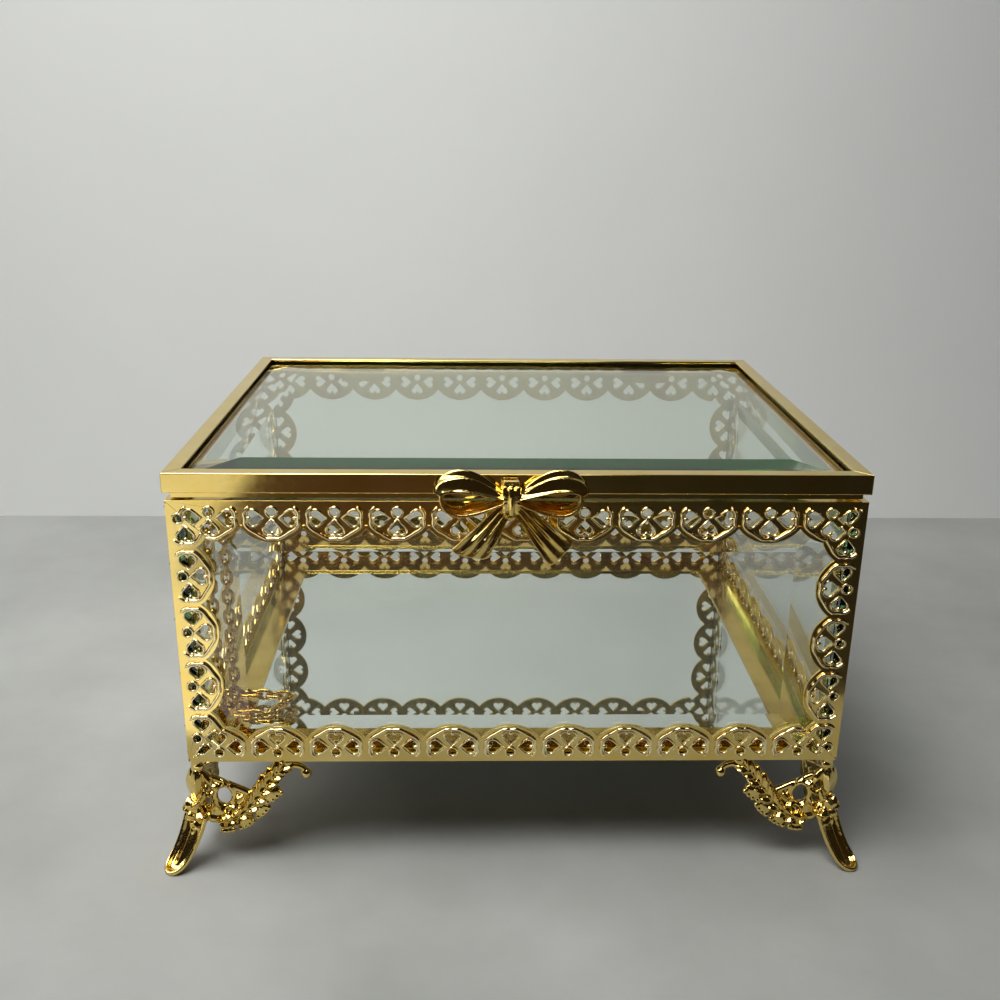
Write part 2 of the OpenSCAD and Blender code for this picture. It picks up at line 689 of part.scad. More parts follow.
module hinge_leaf_body(side) {
    color(GOLD) hinge_place(side) difference() {
        union() {
            for (k = [-1, 1]) {
                knuckle_at(k, 0);
                translate([k * (knuckle_l + knuckle_gap) - knuckle_l / 2, -pin_back, -knuckle_r])
                    cube([knuckle_l, pin_back, knuckle_r]);
            }
            translate([-hinge_w / 2, -pin_back, -lid_gap / 2 - leaf_h]) cube([hinge_w, leaf_t, leaf_h + bite]);
        }
        knuckle_at(0, knuckle_gap);
        pin_bore();
    }
}

module hinge_leaf_lid(side) {
    lid_back = pin_back - lid_over;
    color(GOLD) hinge_place(side) difference() {
        union() {
            knuckle_at(0, 0);
            translate([-knuckle_l / 2, -lid_back, 0]) cube([knuckle_l, lid_back, knuckle_r]);
            translate([-hinge_w / 2, -lid_back, lid_gap / 2]) cube([hinge_w, leaf_t, leaf_h]);
        }
        for (k = [-1, 1]) knuckle_at(k, knuckle_gap);
        pin_bore();
    }
}

module hinge_pin(side) {
    head = 0.5;
    head_rim = 0.4;
    color(GOLD) hinge_place(side) {
        translate([-hinge_w / 2, 0, 0]) rotate([0, 90, 0]) cylinder(r = pin_r, h = hinge_w, $fn = 48);
        for (k = [-hinge_w / 2 - head, hinge_w / 2])
            translate([k, 0, 0]) rotate([0, 90, 0]) cylinder(r = pin_r + head_rim, h = head, $fn = 48);
    }
}

// ---------------------------------------------------------------- stay chain

// Half of a ring of wire on the +y side
module bend() {
    rotate_extrude(angle = 180, $fn = 48) translate([link_r, 0]) circle(wire_r, $fn = 24);
}

// One oval link along x, lying flat in the xy plane
module link() {
    straight = link_l / 2 - link_r - wire_r;
    for (s = [0, 1]) mirror([s, 0, 0]) translate([straight, 0, 0]) rotate([0, 0, -90]) bend();
    for (s = [-1, 1]) translate([-straight, s * link_r, 0]) rotate([0, 90, 0])
        cylinder(r = wire_r, h = 2 * straight, $fn = 24);
}

// A run of n links along x; the first is turned by roll, and hangs on a wire that crosses the origin
module chain_run(n, roll) {
    for (k = [0 : n - 1])
        translate([link_first + k * link_pitch, 0, 0]) rotate([roll + 90 * k, 0, 0]) link();
}

// Lug with a staple: the staple's lowest wire crosses the origin, and its tab lies h higher and
// reaches w to the left
module chain_lug(w, h) {
    translate([0, 0, link_r]) rotate([-90, 0, 0]) bend();
    for (s = [-1, 1]) translate([s * link_r, 0, link_r])
        cylinder(r = wire_r, h = h - link_r + metal_t / 2, $fn = 24);
    translate([-w, wire_r - lug_w, h]) cube([w + link_r + wire_r, lug_w, metal_t]);
}

// The body's lug is soldered on the top flange
module chain_lug_body() {
    color(GOLD) translate([strand_a_x, strand_y, strand_a_z])
        chain_lug(strand_a_in - top_flange_w + lug_seat, lug_a_z - strand_a_z);
}

// The lid's lug is soldered under the bottom lip of the lid's channel
module chain_lug_lid() {
    color(GOLD) translate([strand_b_x, strand_y, strand_b_z])
        chain_lug(strand_b_in + lid_over - lid_lip + lug_seat, lug_b_z - strand_b_z);
}

module chain_strand(x, z, n) {
    color(GOLD) translate([x, strand_y, z]) rotate([0, 90, 0]) chain_run(n, 0);
}
module chain_strand_body() { chain_strand(strand_a_x, strand_a_z, strand_a_links); }
module chain_strand_lid() { chain_strand(strand_b_x, strand_b_z, strand_b_links); }

// Start of run k of the heap, where the run before it ends
function heap_start(k) = k == 0
    ? [strand_a_x, strand_y, heap_z]
    : heap_start(k - 1)
        + heap_links[k - 1] * link_pitch * [cos(heap_heading[k - 1]), sin(heap_heading[k - 1]), 0];

module chain_heap(k) {
    color(GOLD) translate(heap_start(k)) rotate([0, 0, heap_heading[k]])
        chain_run(heap_links[k], k == 0 ? 90 : 0);
}

// ---------------------------------------------------------------- what is drawn

mirror_plate();
mirror_channel(FRONT);  // mirror_channel_front
mirror_channel(RIGHT);  // mirror_channel_right
mirror_channel(BACK);  // mirror_channel_back
mirror_channel(LEFT);  // mirror_channel_left
side_pane(FRONT);  // glass_front
side_pane(RIGHT);  // glass_right
side_pane(BACK);  // glass_back
side_pane(LEFT);  // glass_left
bottom_rail(FRONT);  // bottom_rail_front
bottom_rail(RIGHT);  // bottom_rail_right
bottom_rail(BACK);  // bottom_rail_back
bottom_rail(LEFT);  // bottom_rail_left
top_rail(FRONT);  // top_rail_front
top_rail(RIGHT);  // top_rail_right
top_rail(BACK);  // top_rail_back
top_rail(LEFT);  // top_rail_left
corner_post(FRONT);  // corner_post_fl
corner_post(RIGHT);  // corner_post_fr
corner_post(BACK);  // corner_post_br
corner_post(LEFT);  // corner_post_bl
foot(FRONT);  // foot_fl
foot(RIGHT);  // foot_fr
foot(BACK);  // foot_br
foot(LEFT);  // foot_bl
lid_glass();
lid_rail(FRONT);  // lid_rail_front
lid_rail(RIGHT);  // lid_rail_right
lid_rail(BACK);  // lid_rail_back
lid_rail(LEFT);  // lid_rail_left
bow_knob();
hinge_leaf_body(-1);  // hinge_leaf_body_left
hinge_leaf_lid(-1);  // hinge_leaf_lid_left
hinge_pin(-1);  // hinge_pin_left
hinge_leaf_body(1);  // hinge_leaf_body_right
hinge_leaf_lid(1);  // hinge_leaf_lid_right
hinge_pin(1);  // hinge_pin_right
chain_lug_body();
chain_lug_lid();
chain_strand_body();
chain_heap(0);  // chain_heap_1
chain_heap(1);  // chain_heap_2
chain_heap(2);  // chain_heap_3
chain_heap(3);  // chain_heap_4
chain_strand_lid();
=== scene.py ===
"""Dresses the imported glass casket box: gold lace trim, cast bow and feet, glass, mirror, floor and light."""
import math

import bmesh
import bpy
from mathutils import Matrix, Vector


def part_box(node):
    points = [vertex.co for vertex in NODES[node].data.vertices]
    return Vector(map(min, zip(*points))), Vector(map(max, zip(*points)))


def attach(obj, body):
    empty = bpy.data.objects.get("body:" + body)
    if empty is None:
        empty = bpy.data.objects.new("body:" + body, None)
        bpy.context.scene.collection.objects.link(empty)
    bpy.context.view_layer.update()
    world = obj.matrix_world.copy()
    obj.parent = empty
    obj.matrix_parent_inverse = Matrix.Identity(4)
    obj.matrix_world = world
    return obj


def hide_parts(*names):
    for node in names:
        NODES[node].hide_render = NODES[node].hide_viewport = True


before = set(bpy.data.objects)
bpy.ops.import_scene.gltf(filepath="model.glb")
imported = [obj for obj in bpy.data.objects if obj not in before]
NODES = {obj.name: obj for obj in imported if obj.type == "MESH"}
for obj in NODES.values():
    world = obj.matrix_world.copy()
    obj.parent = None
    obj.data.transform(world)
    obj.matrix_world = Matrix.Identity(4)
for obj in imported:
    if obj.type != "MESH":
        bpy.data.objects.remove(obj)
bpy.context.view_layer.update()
MM = 0.001

# ---------------------------------------------------------------- sizes, in millimetres

FACES = ("front", "right", "back", "left")
CORNERS = ("fl", "fr", "br", "bl")


def box_mm(node):
    """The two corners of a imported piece's box."""
    low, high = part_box(node)
    return [c / MM for c in low], [c / MM for c in high]


GLASS_HIGH = box_mm("glass_left")[1]
RAIL_LOW, RAIL_HIGH = box_mm("bottom_rail_front")
TOP_HIGH = box_mm("top_rail_front")[1]
METAL_T = 0.8
BODY_W = RAIL_HIGH[0] - RAIL_LOW[0]
BODY_D = 2 * (GLASS_HIGH[1] + METAL_T)
BODY_Z = RAIL_LOW[2]
BODY_H = TOP_HIGH[2] - BODY_Z
LID_Z = box_mm("lid_rail_front")[0][2]

# How much thicker the plating makes the chain's wire
PLATING = 0.08

# The lip in the gap under the lid: how far in from the lid's face, how far down, up and how thick
LIP_IN = 1.7
LIP_DROP = 1.6
LIP_RISE = 0.3
LIP_T = 0.5

# The lace cell: its pitch, the height and radius of its round hole, the place and radius of a heart's lobes,
# how far the heart's point lies below them, and the places of its middle heart and of its outer hearts
LACE_PITCH = 15.64
LACE_HOLE = (2.95, 1.15)
HEART_LOBE = (0.92, 1.15)
HEART_LEN = 2.7
HEART_MID_V = 7.7
HEART_SIDE = (4.75, 4.55)
HEART_SIDE_TURN = math.radians(88)
# How far the cells of each strip are moved along from its middle
PHASES = {"top": 0.8, "bottom": -1.3, "left": 1.3, "right": -2.0}

# Raised lines on the lace: radius, how far outside the openings, and how far out their middle lies
LINE_R = 0.3
LINE_GROW = 0.2
LINE_OUT = 0.15
WAVE_R = 0.45
WAVE_OUT = 0.32
# The wavy line of a cell: the height of its centre, then turns in degrees and radii from a side to the middle
WAVE_V = 4.2
WAVE = [(-26, 6.2), (-9, 6.85), (4, 6.6), (17, 6.95), (31, 6.5),
        (45, 5.95), (60, 5.85), (75, 5.95), (90, 5.65)]
# The small notch between a heart's lobes: heights and radii
NOTCH = [(1.7, 0.4), (1.2, 0.52), (0.75, 0.5), (0.3, 0.22)]


# ---------------------------------------------------------------- mesh helpers


Y_AXIS = Vector((0, 1, 0))
Z_AXIS = Vector((0, 0, 1))


def new_object(name, verts, faces, material, body, smooth=True):
    """A piece from vertices in millimetres, on a body if one is named."""
    mesh = bpy.data.meshes.new(name)
    mesh.from_pydata([Vector(v) * MM for v in verts], [], faces)
    mesh.validate()
    mesh.materials.append(material)
    piece = bpy.data.objects.new(name, mesh)
    bpy.context.scene.collection.objects.link(piece)
    for poly in mesh.polygons:
        poly.use_smooth = smooth
    if body:
        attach(piece, body)
    return piece


def fix_normals(mesh):
    work = bmesh.new()
    work.from_mesh(mesh)
    bmesh.ops.remove_doubles(work, verts=work.verts, dist=1e-7)
    bmesh.ops.recalc_face_normals(work, faces=work.faces)
    work.to_mesh(mesh)
    work.free()


def tube(path, radius, sides=8, closed=True, normal=Z_AXIS):
    """Vertices and faces of a round tube along a path; radius is a number or one per point."""
    n = len(path)
    verts, faces = [], []
    for i, p in enumerate(path):
        if closed:
            ahead, behind = path[(i + 1) % n], path[i - 1]
        else:
            ahead, behind = path[min(i + 1, n - 1)], path[max(i - 1, 0)]
        run = (ahead - behind).normalized()
        side = run.cross(normal).normalized()
        up = side.cross(run).normalized()
        r = radius[i] if isinstance(radius, (list, tuple)) else radius
        for k in range(sides):
            a = 2 * math.pi * k / sides
            verts.append(p + side * (r * math.cos(a)) + up * (r * math.sin(a)))
    last = n if closed else n - 1
    for i in range(last):
        j = (i + 1) % n
        for k in range(sides):
            m = (k + 1) % sides
            faces.append((i * sides + k, i * sides + m, j * sides + m, j * sides + k))
    if not closed:
        faces.append(tuple(range(sides - 1, -1, -1)))
        faces.append(tuple((n - 1) * sides + k for k in range(sides)))
    return verts, faces


def smooth_path(points, steps=6):
    """Points along a smooth curve through the given ones; each may carry further values such as a radius."""
    out = []
    n = len(points)
    for i in range(n - 1):
        near = points[max(i - 1, 0)], points[i], points[i + 1], points[min(i + 2, n - 1)]
        for k in range(steps):
            t = k / steps
            out.append(tuple(0.5 * ((2 * b) + (c - a) * t + (2 * a - 5 * b + 4 * c - d) * t * t
                                    + (3 * b - a - 3 * c + d) * t ** 3) for a, b, c, d in zip(*near)))
    out.append(tuple(points[-1]))
    return out


def block(low, high):
    """Vertices and faces of a plain block between two corners."""
    (x0, y0, z0), (x1, y1, z1) = low, high
    verts = [(x, y, z) for x in (x0, x1) for y in (y0, y1) for z in (z0, z1)]
    return verts, [(0, 1, 3, 2), (4, 6, 7, 5), (0, 4, 5, 1), (2, 3, 7, 6), (0, 2, 6, 4), (1, 5, 7, 3)]


class Shape:
    """Gathers vertices and faces of one piece."""

    def __init__(self):
        self.verts = []
        self.faces = []

    def add(self, verts, faces):
        base = len(self.verts)
        self.verts.extend(Vector(v) for v in verts)
        self.faces.extend(tuple(base + i for i in f) for f in faces)

    def moved(self, matrix):
        out = Shape()
        out.verts = [matrix @ v for v in self.verts]
        out.faces = list(self.faces)
        return out


# ---------------------------------------------------------------- materials


def node_material(name):
    material = bpy.data.materials.new(name)
    material.use_nodes = True
    tree = material.node_tree
    tree.nodes.clear()
    out = tree.nodes.new("ShaderNodeOutputMaterial")
    shader = tree.nodes.new("ShaderNodeBsdfPrincipled")
    tree.links.new(shader.outputs["BSDF"], out.inputs["Surface"])
    return material, tree, shader


def noise_node(tree, scale, detail=3.0, roughness=0.55):
    coords = tree.nodes.new("ShaderNodeTexCoord")
    cloud = tree.nodes.new("ShaderNodeTexNoise")
    cloud.inputs["Scale"].default_value = scale
    cloud.inputs["Detail"].default_value = detail
    cloud.inputs["Roughness"].default_value = roughness
    tree.links.new(coords.outputs["Object"], cloud.inputs["Vector"])
    return cloud


def ramp(tree, source, stops):
    node = tree.nodes.new("ShaderNodeValToRGB")
    while len(node.color_ramp.elements) < len(stops):
        node.color_ramp.elements.new(0.5)
    for element, (place, colour) in zip(node.color_ramp.elements, stops):
        element.position = place
        element.color = (*colour, 1.0)
    tree.links.new(source, node.inputs["Fac"])
    return node


def map_range(tree, source, low, high):
    """Spreads the middle of a noise from low to high."""
    node = tree.nodes.new("ShaderNodeMapRange")
    node.inputs["From Min"].default_value = 0.3
    node.inputs["From Max"].default_value = 0.7
    node.inputs["To Min"].default_value = low
    node.inputs["To Max"].default_value = high
    tree.links.new(source, node.inputs["Value"])
    return node


def output_of(tree):
    return next(n for n in tree.nodes if n.type == "OUTPUT_MATERIAL")


def bump(tree, shader, source, strength, distance):
    node = tree.nodes.new("ShaderNodeBump")
    node.inputs["Strength"].default_value = strength
    node.inputs["Distance"].default_value = distance
    tree.links.new(source, node.inputs["Height"])
    tree.links.new(node.outputs["Normal"], shader.inputs["Normal"])


# Tones of the gold, each from its darker to its lighter patches
LEMON = ((0.78, 0.56, 0.15), (0.84, 0.66, 0.25))
# Paler gold for the raised lace lines: a painted highlight, so that they read brighter than the sheet
PALE_HIGHLIGHT = ((0.92, 0.77, 0.40), (0.96, 0.85, 0.54))
# Deeper, more saturated gold for the chain and the mirror channel; on the channel it is a painted reflection
# of gold in gold
DEEP = ((0.60, 0.40, 0.08), (0.70, 0.50, 0.13))
# Height of the ripples in the sheet, in metres
RIPPLE_H = 0.002


def gold(name, rough, ripple, wave=40.0, tones=LEMON):
    """Bright gold plating: slow waves of the thin sheet, and faint patches of tone."""
    material, tree, shader = node_material(name)
    patches = noise_node(tree, 90.0)
    colour = ramp(tree, patches.outputs["Fac"], [(0.3, tones[0]), (0.7, tones[1])])
    tree.links.new(colour.outputs["Color"], shader.inputs["Base Color"])
    shader.inputs["Metallic"].default_value = 1.0
    fine = noise_node(tree, 600.0, 4.0)
    spread = map_range(tree, fine.outputs["Fac"], rough * 0.75, rough * 1.35)
    tree.links.new(spread.outputs["Result"], shader.inputs["Roughness"])
    slow = noise_node(tree, wave, 2.0)
    bump(tree, shader, slow.outputs["Fac"], ripple, RIPPLE_H)
    return material


def glass(name, density):
    """Clear bevelled glass, green where light runs a long way inside it."""
    material, tree, shader = node_material(name)
    smear = noise_node(tree, 30.0, 3.0)
    spread = map_range(tree, smear.outputs["Fac"], 0.0, 0.012)
    shader.inputs["Base Color"].default_value = (0.985, 0.99, 0.985, 1.0)
    shader.inputs["Transmission Weight"].default_value = 1.0
    shader.inputs["IOR"].default_value = 1.5
    tree.links.new(spread.outputs["Result"], shader.inputs["Roughness"])
    body = tree.nodes.new("ShaderNodeVolumeAbsorption")
    body.inputs["Color"].default_value = (0.20, 0.60, 0.25, 1.0)
    body.inputs["Density"].default_value = density
    tree.links.new(body.outputs["Volume"], output_of(tree).inputs["Volume"])
    return material


def mirror():
    material, tree, shader = node_material("mirror_silver")
    cloud = noise_node(tree, 25.0, 3.0)
    colour = ramp(tree, cloud.outputs["Fac"], [(0.3, (0.74, 0.78, 0.76)), (0.7, (0.80, 0.83, 0.81))])
    tree.links.new(colour.outputs["Color"], shader.inputs["Base Color"])
    shader.inputs["Metallic"].default_value = 1.0
    fine = noise_node(tree, 400.0, 3.0)
    spread = map_range(tree, fine.outputs["Fac"], 0.01, 0.035)
    tree.links.new(spread.outputs["Result"], shader.inputs["Roughness"])
    return material


SHEET = gold("gold_sheet", 0.10, 0.10)
BAND = gold("gold_band", 0.09, 0.16, wave=22.0)
CAST = gold("gold_cast", 0.12, 0.10, wave=300.0)
CHAIN = gold("gold_chain", 0.14, 0.05, wave=400.0, tones=DEEP)
# The mirror channel's deeper gold is a painted reflection of the gold around it
CHANNEL_PAINTED_REFLECTION = gold("gold_channel_painted_reflection", 0.10, 0.10, tones=DEEP)
# The raised lace lines get the paler gold, a painted highlight
RIM_PAINTED_HIGHLIGHT = gold("gold_rim_painted_highlight", 0.07, 0.05, tones=PALE_HIGHLIGHT)
PANE = glass("clear_glass", 14.0)
LID_PANE = glass("lid_glass", 36.0)
MIRROR = mirror()


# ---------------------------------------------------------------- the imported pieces

# Width of the rounded edges, by the start of a node's name
BEVELS = {
    "lid_rail": 0.34,
    "mirror_channel": 0.12,
    "top_rail": 0.16,
    "bottom_rail": 0.16,
    "corner_post": 0.16,
    "hinge": 0.15,
}
SOFTENED_ANGLE = math.radians(38)

# Material by the start of a node's name; all the rest is gold sheet
LOOKS = {
    "lid_glass": LID_PANE,
    "glass_": PANE,
    "mirror_plate": MIRROR,
    "mirror_channel": CHANNEL_PAINTED_REFLECTION,
    "chain_": CHAIN,
    "lid_rail": BAND,
}


def soften(piece, width):
    """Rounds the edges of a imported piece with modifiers, which leave its own mesh alone."""
    weld = piece.modifiers.new("weld", "WELD")
    weld.merge_threshold = 1e-6
    edge = piece.modifiers.new("edge", "BEVEL")
    edge.width = width * MM
    edge.segments = 2
    edge.limit_method = "ANGLE"
    edge.angle_limit = SOFTENED_ANGLE
    edge.harden_normals = True


def dress_nodes():
    for name, piece in NODES.items():
        material = next((look for start, look in LOOKS.items() if name.startswith(start)), SHEET)
        piece.data.materials.clear()
        piece.data.materials.append(material)
        for start, width in BEVELS.items():
            if name.startswith(start):
                soften(piece, width)
        if name.startswith("chain_") and not name.startswith("chain_lug"):
            swell = piece.modifiers.new("plating", "DISPLACE")
            swell.strength = PLATING * MM
            swell.mid_level = 0.0


# ---------------------------------------------------------------- lace trim


def turned(points, turn, centre):
    """Flat points turned about the origin and moved to a centre."""
    c, s = math.cos(turn), math.sin(turn)
    return [(centre[0] + x * c - y * s, centre[1] + x * s + y * c) for x, y in points]


def heart_path(grow, steps=7):
    """Outline of a heart, its lobes at the origin and its point below, grown outwards."""
    lobe_x, lobe_r = HEART_LOBE
    r = lobe_r + grow
    length = HEART_LEN + grow * 1.4
    notch = math.atan2(math.sqrt(r * r - lobe_x * lobe_x), -lobe_x)
    lean = math.atan2(lobe_x, length) + math.asin(r / math.hypot(lobe_x, length))
    right = []
    for i in range(steps + 1):
        a = notch - (lean + notch) * i / steps
        right.append((lobe_x + r * math.cos(a), r * math.sin(a)))
    left = [(-x, y) for x, y in reversed(right[1:])]
    return right + [(0.0, -length)] + left


def circle_path(centre, radius, steps=18):
    return [(centre[0] + radius * math.cos(2 * math.pi * i / steps),
             centre[1] + radius * math.sin(2 * math.pi * i / steps)) for i in range(steps)]


def wave_path():
    """The wavy rim that follows the three hearts inside a scallop, open towards the straight edge."""
    stops = WAVE + [(180 - a, r) for a, r in reversed(WAVE[:-1])]
    return [(r * math.cos(math.radians(a)), WAVE_V + r * math.sin(math.radians(a)))
            for a, r in smooth_path(stops, 6)]


def cell_lines():
    """The raised lines of one lace cell: (points, closed, radii, how far out they lie)."""
    lines = [(circle_path((0, LACE_HOLE[0]), LACE_HOLE[1] + LINE_GROW), True, LINE_R, LINE_OUT)]
    wave = wave_path()
    last = len(wave) - 1
    thin = [WAVE_R * min(1.0, 0.3 + 0.3 * min(i, last - i)) for i in range(last + 1)]
    lines.append((wave, False, thin, WAVE_OUT))
    hearts = [(0.0, (0.0, HEART_MID_V))]
    hearts += [(-s * HEART_SIDE_TURN, (s * HEART_SIDE[0], HEART_SIDE[1])) for s in (-1, 1)]
    notch = [(0.0, y) for y, _ in NOTCH]
    notch_radii = [r for _, r in NOTCH]
    for turn, centre in hearts:
        lines.append((turned(heart_path(LINE_GROW), turn, centre), True, LINE_R, LINE_OUT))
        lines.append((turned(notch, turn, centre), False, notch_radii, LINE_OUT))
    return lines


def strip_mesh(length, phase):
    """Raised lines of one lace strip in its own frame (u, v, outwards), cut at 45 degrees at both ends."""
    work = bmesh.new()
    count = math.ceil(length / LACE_PITCH / 2) + 1
    for k in range(-count, count + 1):
        u0 = phase + k * LACE_PITCH
        if abs(u0) >= length / 2 + LACE_PITCH / 2:
            continue
        for points, closed, radii, out in cell_lines():
            path = [Vector((u0 + u, v, out)) for u, v in points]
            verts, faces = tube(path, radii, 8, closed)
            made = [work.verts.new(v) for v in verts]
            for f in faces:
                work.faces.new([made[i] for i in f])
    for s in (-1, 1):
        geom = list(work.verts) + list(work.edges) + list(work.faces)
        cut = bmesh.ops.bisect_plane(work, geom=geom, plane_co=(s * length / 2, 0, 0), plane_no=(s, 1, 0),
                                     clear_outer=True)
        rim = [e for e in cut["geom_cut"] if isinstance(e, bmesh.types.BMEdge)]
        bmesh.ops.holes_fill(work, edges=rim, sides=0)
    verts = [v.co.copy() for v in work.verts]
    for i, v in enumerate(work.verts):
        v.index = i
    faces = [tuple(v.index for v in f.verts) for f in work.faces]
    work.free()
    return verts, faces


def face_turn(i):
    """Turns the front face's frame (x along, y into the box, z up from the body's foot) to face i."""
    out = BODY_D / 2 if i % 2 == 0 else BODY_W / 2
    return Matrix.Rotation(math.pi / 2 * i, 4, "Z") @ Matrix.Translation((0, -out, BODY_Z))


def lace_lines():
    """The raised lines on the rails and posts of each face, as one piece a face."""
    for i, face in enumerate(FACES):
        length = BODY_W if i % 2 == 0 else BODY_D
        shape = Shape()
        rail_low = strip_mesh(length, PHASES["bottom"])
        rail_top = strip_mesh(length, PHASES["top"])
        leg_left = strip_mesh(BODY_H, PHASES["left"])
        leg_right = strip_mesh(BODY_H, PHASES["right"])
        shape.add([(u, -d, v) for u, v, d in rail_low[0]], rail_low[1])
        shape.add([(u, -d, BODY_H - v) for u, v, d in rail_top[0]], rail_top[1])
        shape.add([(v - length / 2, -d, u + BODY_H / 2) for u, v, d in leg_left[0]], leg_left[1])
        shape.add([(length / 2 - v, -d, u + BODY_H / 2) for u, v, d in leg_right[0]], leg_right[1])
        placed = shape.moved(face_turn(i))
        # The lines wear the paler gold of the painted highlight
        piece = new_object("lace_lines_" + face, placed.verts, placed.faces, RIM_PAINTED_HIGHLIGHT, "casket_body")
        fix_normals(piece.data)


def lid_lips():
    """A lip folded down inside each lid rail, which closes most of the gap over the body."""
    lid_low, lid_high = box_mm("lid_rail_front")
    half = ((lid_high[0] - lid_low[0]) / 2, -lid_low[1])
    for i, face in enumerate(FACES):
        length, out = half if i % 2 == 0 else half[::-1]
        low = (-(length - LIP_IN), -(out - LIP_IN), LID_Z - LIP_DROP)
        high = (length - LIP_IN, -(out - LIP_IN - LIP_T), LID_Z + LIP_RISE)
        shape = Shape()
        shape.add(*block(low, high))
        placed = shape.moved(Matrix.Rotation(math.pi / 2 * i, 4, "Z"))
        piece = new_object("lid_lip_" + face, placed.verts, placed.faces, BAND, "lid", False)


# ---------------------------------------------------------------- cast pieces


def fuse(piece, voxel, smooth):
    """Joins the overlapping forms of a cast piece into one skin, as the mould does."""
    remesh = piece.modifiers.new("fuse", "REMESH")
    remesh.mode = "VOXEL"
    remesh.voxel_size = voxel * MM
    remesh.adaptivity = 0.0
    relax = piece.modifiers.new("relax", "SMOOTH")
    relax.factor = 0.5
    relax.iterations = smooth
    depsgraph = bpy.context.evaluated_depsgraph_get()
    mesh = bpy.data.meshes.new_from_object(piece.evaluated_get(depsgraph))
    piece.modifiers.clear()
    old = piece.data
    name = old.name
    piece.data = mesh
    bpy.data.meshes.remove(old)
    mesh.name = name
    for poly in mesh.polygons:
        poly.use_smooth = True


def ball(shape, centre, radii, turn=None, rings=10, sides=14):
    """An ellipsoid, turned by a rotation matrix."""
    turn = turn or Matrix.Identity(3)
    verts = []
    for i in range(1, rings):
        lat = math.pi * i / rings
        for k in range(sides):
            lon = 2 * math.pi * k / sides
            p = Vector((radii[0] * math.sin(lat) * math.cos(lon),
                        radii[1] * math.sin(lat) * math.sin(lon),
                        radii[2] * math.cos(lat)))
            verts.append(Vector(centre) + turn @ p)
    top, foot = len(verts), len(verts) + 1
    verts.append(Vector(centre) + turn @ Vector((0, 0, radii[2])))
    verts.append(Vector(centre) + turn @ Vector((0, 0, -radii[2])))
    faces = []
    for i in range(rings - 2):
        for k in range(sides):
            m = (k + 1) % sides
            faces.append((i * sides + k, (i + 1) * sides + k, (i + 1) * sides + m, i * sides + m))
    for k in range(sides):
        m = (k + 1) % sides
        faces.append((top, k, m))
        faces.append((foot, (rings - 2) * sides + m, (rings - 2) * sides + k))
    shape.add(verts, faces)


def rod(shape, points, sides=10):
    """A round rod through points (x, y, z, radius)."""
    path = smooth_path(points)
    verts, faces = tube([Vector(p[:3]) for p in path], [p[3] for p in path], sides, False, Y_AXIS)
    shape.add(verts, faces)


def leaflet(shape, x, z, angle, length, width, y=0.0, rise=0.9):
    """A pointed leaflet with a raised vein, lying on the plate; angle is measured from +x towards +z."""
    turn = Matrix.Rotation(-angle, 3, "Y")
    steps = 10
    across = 8
    verts = []
    for i in range(steps + 1):
        t = i / steps
        w = width * math.sin(math.pi * min(1.0, 0.08 + 0.92 * t)) ** 0.8 * (1.15 - 0.45 * t)
        lift = rise * math.sin(math.pi * (0.15 + 0.75 * t))
        for k in range(across):
            a = 2 * math.pi * k / across
            crest = 1.35 if k == 6 else 1.0
            local = Vector((length * t, lift * math.sin(a) * crest, w / 2 * math.cos(a)))
            verts.append(Vector((x, y, z)) + turn @ local)
    faces = []
    for i in range(steps):
        for k in range(across):
            m = (k + 1) % across
            faces.append((i * across + k, i * across + m, (i + 1) * across + m, (i + 1) * across + k))
    faces.append(tuple(range(across - 1, -1, -1)))
    faces.append(tuple(steps * across + k for k in range(across)))
    shape.add(verts, faces)


# One leaf plate of a foot, seen from the front: x runs from the body's corner, z down from the body
FOOT_Y = 1.7
FOOT_STEM = [(4.2, -18.6), (8.6, -19.0), (13.0, -17.0), (16.6, -13.2),
             (19.6, -8.8), (22.6, -4.8), (25.6, -1.9)]
STEM_R = 1.35
STEM_TAPER = 0.07
# The leaflets of the stem: turn from it in degrees, length and width
STEM_LEAVES = ((26, 6.6, 2.7), (-34, 4.4, 2.4))
# The round opening, and the turns in degrees at which its ring carries a small leaf
FOOT_EYE = (8.6, -11.4)
FOOT_EYE_R = 3.1
CREST = (60, 105, 150, 195, 240, 290, 335)
# Lobes of the scalloped leaf below the stem: place, length and width, and turn in degrees
FOOT_LOBES = [(21.5, -10.6, 3.0, 1.75, 38), (18.2, -15.3, 2.7, 1.8, 45), (13.8, -19.2, 2.6, 1.65, 30),
              (9.0, -21.2, 2.0, 1.2, 8)]
LOBE_BEADS = (-0.8, -0.27, 0.27, 0.8)
BEAD_R = 0.8
ROSETTE_LEAVES = 7
ROSETTE_BEAD_R = 0.9


def small_bead(shape, centre, radius):
    ball(shape, centre, (radius, radius, radius), rings=7, sides=10)


def foot_post(shape):
    """The stem at the corner, with long buds in front of it."""
    y = FOOT_Y
    rod(shape, [(1.7, y, 0.8, 1.6), (1.7, y, -5, 1.5), (1.9, y, -11, 1.7), (2.2, y, -17, 1.9)])
    ball(shape, (2.2, y - 0.6, -2.0), (1.7, 1.2, 1.3))
    leaflet(shape, 1.7, -2.8, math.radians(-92), 9.6, 4.3, y - 0.9, 1.9)
    leaflet(shape, 3.0, -3.4, math.radians(-60), 6.4, 2.6, y - 0.5, 1.2)
    leaflet(shape, 3.4, -9.6, math.radians(-112), 8.0, 2.8, y - 0.6, 1.4)


